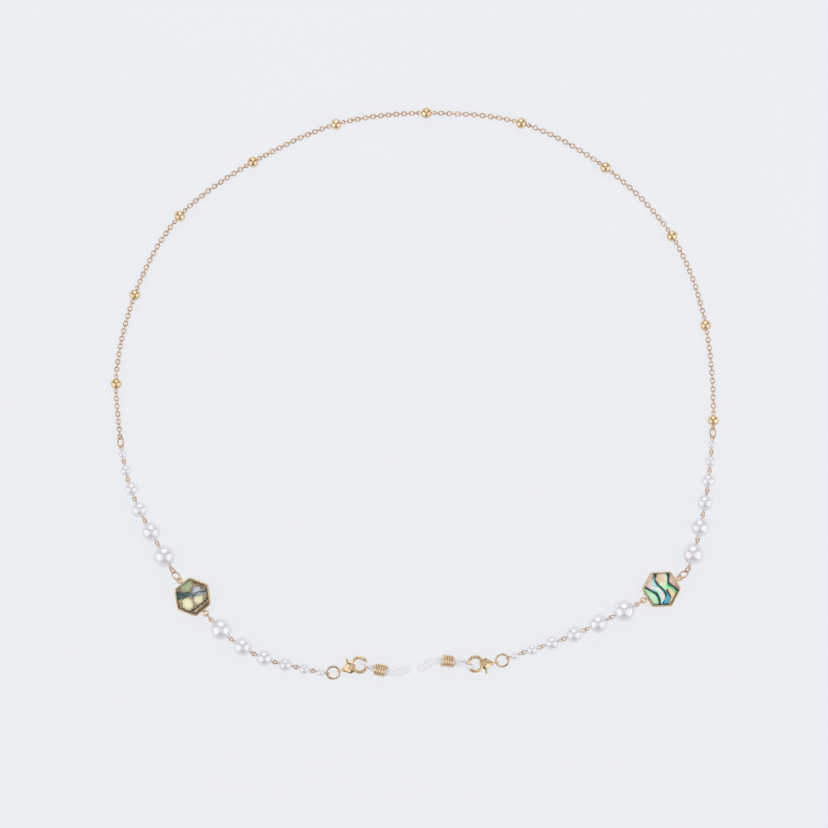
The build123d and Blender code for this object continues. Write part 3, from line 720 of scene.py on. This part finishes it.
def left_shell_paint(turn):
    """Brown and olive shell with cream ovals, a dark teal band and a pale blue patch at the right, which is partly
    the shell's own blue and partly a painted reflection with a painted white highlight.
    """
    paint, where, warped = shell_base("shell_left")
    run, rise = along(paint, warped, 1, 0), along(paint, warped, 0, 1)
    speck = paint.noise(where, 6.5, 4, 0.6, 1.2)
    colour = paint.ramp(speck, [(0.36, rgb(104, 80, 58)), (0.48, rgb(158, 134, 100)), (0.62, rgb(200, 184, 148))])
    patches = [
        (-0.40, 0.72, 0.48, rgb(176, 196, 160)), (-0.72, -0.32, 0.36, rgb(206, 204, 152)),
        (0.60, 0.78, 0.34, rgb(122, 94, 78)), (0.62, 0.06, 0.34, rgb(206, 216, 212)),
        (-0.28, -0.42, 0.44, rgb(252, 249, 208)), (0.36, -0.14, 0.42, rgb(246, 243, 204)),
        # the pale blue patches here are partly the shell's own blue and partly a painted reflection of a softbox in
        # the dome; the pure white spot on the next line is a painted highlight
        (0.26, 0.40, 0.38, rgb(204, 224, 248)), (0.64, 0.40, 0.28, rgb(186, 214, 244)),
        (0.20, 0.46, 0.20, rgb(255, 255, 255)), (-0.14, 0.78, 0.17, rgb(236, 240, 226)),
        (-0.62, 0.46, 0.14, rgb(228, 232, 210)), (-0.46, -0.36, 0.10, rgb(150, 112, 76)),
        (-0.22, -0.52, 0.08, rgb(176, 140, 96)), (0.14, -0.42, 0.16, rgb(236, 230, 184)),
        (0.52, -0.56, 0.20, rgb(112, 82, 60)),
    ]
    for x, y, size, shade in patches:
        radius = 1.12 * size
        reach = paint.node("VectorMath", {0: warped, 1: (x, y, 0)}, operation="DISTANCE").outputs["Value"]
        reach = paint.math("ADD", reach, paint.span(speck, 0.3, 0.7, -0.13, 0.13))
        rim = paint.math("MULTIPLY", paint.span(reach, radius * 0.8, radius),
                         paint.span(reach, radius * 1.3, radius * 1.08))
        colour = paint.mix(paint.math("MULTIPLY", rim, 0.45), colour, rgb(104, 84, 62))
        colour = paint.mix(paint.span(reach, radius, radius * 0.75), colour, shade)
    fleck = paint.noise(where, 12, 4, 0.65, 1.0)
    colour = paint.mix(paint.span(fleck, 0.52, 0.66, 0, 0.38), colour, rgb(126, 104, 78))
    band = paint.math("SUBTRACT", rise, paint.curve(run, [(-1, 0.06), (-0.64, 0.08), (-0.3, 0.16), (0.03, 0.10),
                                                          (0.34, 0.16), (0.64, 0.24), (1, 0.3)]))
    half = paint.curve(run, [(-1, 0.28), (-0.62, 0.24), (-0.35, 0.16), (0.0, 0.11), (0.4, 0.05), (1, 0.03)])
    inside = paint.math("SUBTRACT", half, paint.math("ABSOLUTE", band))
    teal = paint.ramp(paint.math("ADD", speck, paint.span(run, -1, 0.6, -0.12, 0.20)),
                      [(0.36, rgb(8, 22, 22)), (0.50, rgb(40, 92, 88)), (0.62, rgb(84, 120, 134)),
                       (0.74, rgb(190, 204, 218))])
    colour = paint.mix(paint.span(inside, -0.03, 0.05), colour, teal)
    upper_line = [(-1, -0.2), (0.0, 0.16), (0.3, 0.30), (0.6, 0.34), (1, 0.5)]
    lower_line = [(-1, -1), (0.1, -0.78), (0.5, -0.42), (0.8, -0.2), (1, 0.0)]
    for line, start in ((upper_line, 0.1), (lower_line, 0.0)):
        gap = paint.math("ABSOLUTE", paint.math("SUBTRACT", rise, paint.curve(run, line)))
        stroke = paint.math("MULTIPLY", paint.span(gap, 0.02, 0.07, 1, 0), paint.span(run, start - 0.1, start))
        colour = paint.mix(stroke, colour, rgb(30, 48, 66))
    # painted shade and dark reflection near the shell's edge
    colour = painted_edge_shade(paint, where, colour, turn, 0.6)
    return shell_surface(paint, colour, where)


ROSE = gold("gold_chain", rgb(242, 212, 182), rgb(176, 138, 106), 0.19)
YELLOW = gold("gold_cast", rgb(252, 230, 194), rgb(206, 168, 122), 0.11)
PEARL, SILICONE, RESIN, STEEL = pearl_paint(), silicone_paint(), resin_paint(), steel_paint()
SHELL_PAINT = {"left": left_shell_paint, "right": right_shell_paint}

BODY_OF = {node: thing["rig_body"] for node, thing in frame["nodes"].items()}

# ---------------------------------------------------------------- cable chain and its ball stations
link_shape = wire_link(**LINK)
for node in sorted(name for name in frame["nodes"] if name.startswith("chain_run_")):
    links, body = Shape(), BODY_OF[node]
    for points, triangles in solids(node):
        centre, axes, size = principal(points, triangles)
        if size[0] < 1.15 * LINK["length"]:
            links.add(link_shape.placed(centre, axes))
        elif size[2] > 0.8 * BALL_DIAMETER:
            ball_centre = centre
        else:
            pin_centre, pin_axes, reach = pin_place(points, triangles, **BALL_PIN)
    make(f"{node}_links", links, body, [node], ROSE)
    bead = bored_bead(BALL_DIAMETER, BALL_PIN["wire"] + BORE_CLEARANCE, 0.08)
    make(f"{node}_ball", bead.placed(ball_centre, pin_axes), body, [], YELLOW)
    pin = eye_pin(reach, **BALL_PIN)
    make(f"{node}_ball_pin", pin.placed(pin_centre, pin_axes), body, [], ROSE)

# ---------------------------------------------------------------- pearls, their pins and the connectors
connector_shape = wire_link(**CONNECTOR)
for node in sorted(name for name in frame["nodes"] if "_pearl_" in name):
    body, diameter = BODY_OF[node], float(node.split("_")[-1][:-2])
    connector = None
    for points, triangles in solids(node):
        centre, axes, size = principal(points, triangles)
        if size[2] > 0.8 * diameter:
            bead_centre = centre
        elif abs(size[0] - CONNECTOR["length"]) < 0.25:
            connector = connector_shape.placed(centre, axes)
        else:
            pin_centre, pin_axes, reach = pin_place(points, triangles, **PEARL_PIN)
    bead = bored_bead(diameter, PEARL_PIN["wire"] + BORE_CLEARANCE)
    make(f"{node}_bead", bead.placed(bead_centre, pin_axes), body, [node], PEARL)
    pin = eye_pin(reach, **PEARL_PIN)
    make(f"{node}_pin", pin.placed(pin_centre, pin_axes), body, [], ROSE)
    if connector:
        make(f"{node}_connector", connector, body, [], ROSE)

# ---------------------------------------------------------------- jump rings
for side in SIDES:
    for kind, (radius, wire) in RINGS.items():
        node = f"{side}_{kind}"
        centre, axes, size = principal(*solids(node)[0])
        hook_up = next(joint for joint in frame["joints"] if joint["child"] == BODY_OF[node])
        toward = np.array(hook_up["pos_m"]) / MM - centre
        toward -= axes[:, 2] * toward.dot(axes[:, 2])
        toward /= np.linalg.norm(toward)
        axes = np.stack([np.cross(toward, axes[:, 2]), toward, axes[:, 2]], axis=1)
        ring = cut_ring(radius, wire).placed(centre, axes)
        make(f"{node}_wire", ring, BODY_OF[node], [node], ROSE)

# ---------------------------------------------------------------- hexagonal shell links
for side in SIDES:
    bezel, body = f"{side}_hex_bezel", BODY_OF[f"{side}_hex_bezel"]
    centre, axes, size = principal(*solids(bezel)[0])
    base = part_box(bezel)[0].z / MM
    heading = math.atan2(axes[1, 0], axes[0, 0])
    cosine, sine = math.cos(heading), math.sin(heading)
    turn = np.array([[cosine, -sine, 0], [sine, cosine, 0], [0, 0, 1]])
    middle = np.array([centre[0], centre[1], base])
    cast(f"{side}_hex_cup", bezel, body, YELLOW, 0.08, 8, 0.02)
    inner, corner = HEX_FLATS - 2 * HEX_WALL - 2 * FIT_GAP, HEX_CORNER - HEX_WALL / 2
    shell_top = HEX_FLOOR + SHELL_THICKNESS
    slab = crowned_hexagon(inner, corner, HEX_FLOOR, shell_top - 0.04, 0.03)
    shell_paint = SHELL_PAINT[side](heading)
    make(f"{side}_hex_shell", slab.placed(middle, turn), body, [f"{side}_hex_shell_inlay"], shell_paint,
         origin=middle)
    dome = crowned_hexagon(inner, corner, shell_top, HEX_HEIGHT - 0.15, DOME_CROWN)
    make(f"{side}_hex_cover", dome.placed(middle, turn), body, [f"{side}_hex_clear_dome"], RESIN,
         origin=middle)

# ---------------------------------------------------------------- clasps, loops and coils
for side in SIDES:
    body, lever = BODY_OF[f"{side}_clasp_body"], BODY_OF[f"{side}_clasp_lever"]
    joint = next(j for j in frame["joints"] if j["child"] == lever)
    pivot = np.array(joint["pos_m"], float) / MM
    up = np.array(joint["axis"], float)
    up /= np.linalg.norm(up)
    points = solids(f"{side}_clasp_body")[0][0] - pivot
    points -= np.outer(points @ up, up)
    nose = points[np.linalg.norm(points, axis=1).argmax()]
    nose /= np.linalg.norm(nose)
    axes = np.stack([nose, np.cross(up, nose), up], axis=1)
    cast(f"{side}_clasp_claw", f"{side}_clasp_body", body, YELLOW, 0.06, 12, 0.03,
         sculpted_clasp(pivot, axes))
    cast(f"{side}_clasp_gate", f"{side}_clasp_lever", lever, YELLOW, 0.06, 14, 0.03)
    cast(f"{side}_clasp_leaf", f"{side}_clasp_spring", body, STEEL, 0.04, 1)
    half, dome = CLASP_THICKNESS / 2 + 0.01, 0.05
    head = [(half + dome * math.sin(a), RIVET_HEAD * math.cos(a)) for a in np.radians((0, 20, 40, 60, 80))]
    profile = [(-x, r) for x, r in reversed(head)] + [(-half, RIVET), (half, RIVET)] + head
    low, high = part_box(f"{side}_clasp_rivet")
    rivet = revolve(profile, axis=2, count=40).placed(np.array((low + high) / 2) / MM, axes)
    make(f"{side}_clasp_pin", rivet, body, [f"{side}_clasp_rivet"], YELLOW)

    band = f"{side}_silicone_loop"
    cast(f"{side}_temple_band", band, BODY_OF[band], SILICONE, 0.08, 24)

    node = f"{side}_grip_coil"
    joint = next(j for j in frame["joints"] if j["child"] == BODY_OF[node])
    forward = np.array(joint["axis"], float)
    forward /= np.linalg.norm(forward)
    across = np.cross((0.0, 0.0, 1.0), forward)
    across /= np.linalg.norm(across)
    axes = np.stack([forward, across, np.cross(forward, across)], axis=1)
    low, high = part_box(node)
    steps = np.linspace(0, 1, COIL["turns"] * 40 + 1)
    angles = 2 * math.pi * COIL["turns"] * steps + 0.6
    length = COIL["turns"] * COIL["pitch"]
    helix = np.stack([length * (steps - 0.5), COIL["radius"] * np.cos(angles), COIL["radius"] * np.sin(angles)],
                     axis=1)
    wound = sweep(helix, COIL["wire"], ring=14).placed(np.array((low + high) / 2) / MM, axes)
    make(f"{side}_coil_wire", wound, BODY_OF[node], [node], YELLOW)

# ---------------------------------------------------------------- floor, light and camera
FLOOR_HALF, FLOOR_GAP, FLOOR_GLOW = 3.0, 0.0002, 0.858
CAMERA_PLACE, CAMERA_LENS, SENSOR = (-0.00027, -0.00737, 1.202), 143.3, 36.0
SKY = [(0.30, (0.50, 0.505, 0.52, 1)), (0.88, (0.10, 0.102, 0.11, 1)), (0.985, (0.72, 0.73, 0.75, 1))]

floor_paint = Paint("pale_table")
spread = floor_paint.noise(floor_paint.place(), 3, 2, 0.5)
tone = floor_paint.mix(spread, rgb(236, 238, 242), rgb(235, 237, 241))
matt = floor_paint.mix(spread, rgb(108, 109, 112), rgb(106, 107, 110))
floor_paint.surface(Base_Color=matt, Roughness=0.9, Specular_IOR_Level=0.0,
                    Emission_Color=tone, Emission_Strength=FLOOR_GLOW)
floor_mesh = bpy.data.meshes.new("table")
corners = [(x * FLOOR_HALF, y * FLOOR_HALF, 0) for x, y in ((-1, -1), (1, -1), (1, 1), (-1, 1))]
floor_mesh.from_pydata(corners, [], [(0, 1, 2, 3)])
floor_mesh.materials.append(floor_paint.material)
floor = bpy.data.objects.new("table", floor_mesh)
floor.location.z = CAD_BOX[0].z - FLOOR_GAP
bpy.context.scene.collection.objects.link(floor)

world = bpy.data.worlds.new("studio")
world.use_nodes = True
sky = world.node_tree
height = sky.nodes.new("ShaderNodeSeparateXYZ")
shade = sky.nodes.new("ShaderNodeValToRGB")
sky.links.new(sky.nodes.new("ShaderNodeTexCoord").outputs["Generated"], height.inputs[0])
sky.links.new(height.outputs["Z"], shade.inputs["Fac"])
sky.links.new(shade.outputs["Color"], sky.nodes["Background"].inputs["Color"])
(low_place, low_shade), (rim_place, rim_shade), (top_place, top_shade) = SKY
first, last = shade.color_ramp.elements[0], shade.color_ramp.elements[1]
first.position, first.color = low_place, low_shade
last.position, last.color = top_place, top_shade
shade.color_ramp.elements.new(rim_place).color = rim_shade
bpy.context.scene.world = world


def softbox(name, bearing, lean, size, power, distance=1.0):
    """A square soft light that faces the strap, lean degrees down from straight above."""
    light = bpy.data.lights.new(name, "AREA")
    light.shape, light.size, light.energy = "SQUARE", size, power
    light.color = (1.0, 0.985, 0.97)
    lamp = bpy.data.objects.new(name, light)
    away, tilt = math.radians(bearing), math.radians(lean)
    reach = distance * math.sin(tilt)
    lamp.location = (reach * math.cos(away), reach * math.sin(away), distance * math.cos(tilt))
    lamp.rotation_euler = (-lamp.location).to_track_quat("-Z", "Y").to_euler()
    bpy.context.scene.collection.objects.link(lamp)


softbox("softbox_far", 92, 54, 0.92, 3.2)
softbox("softbox_left", 198, 52, 1.16, 4.5)
softbox("softbox_right", -16, 53, 1.16, 4.5)

camera_data = bpy.data.cameras.new("camera")
camera_data.sensor_width, camera_data.lens = SENSOR, CAMERA_LENS
camera = bpy.data.objects.new("camera", camera_data)
camera.location = CAMERA_PLACE
bpy.context.scene.collection.objects.link(camera)
bpy.context.scene.camera = camera
bpy.context.scene.view_settings.view_transform = "Standard"
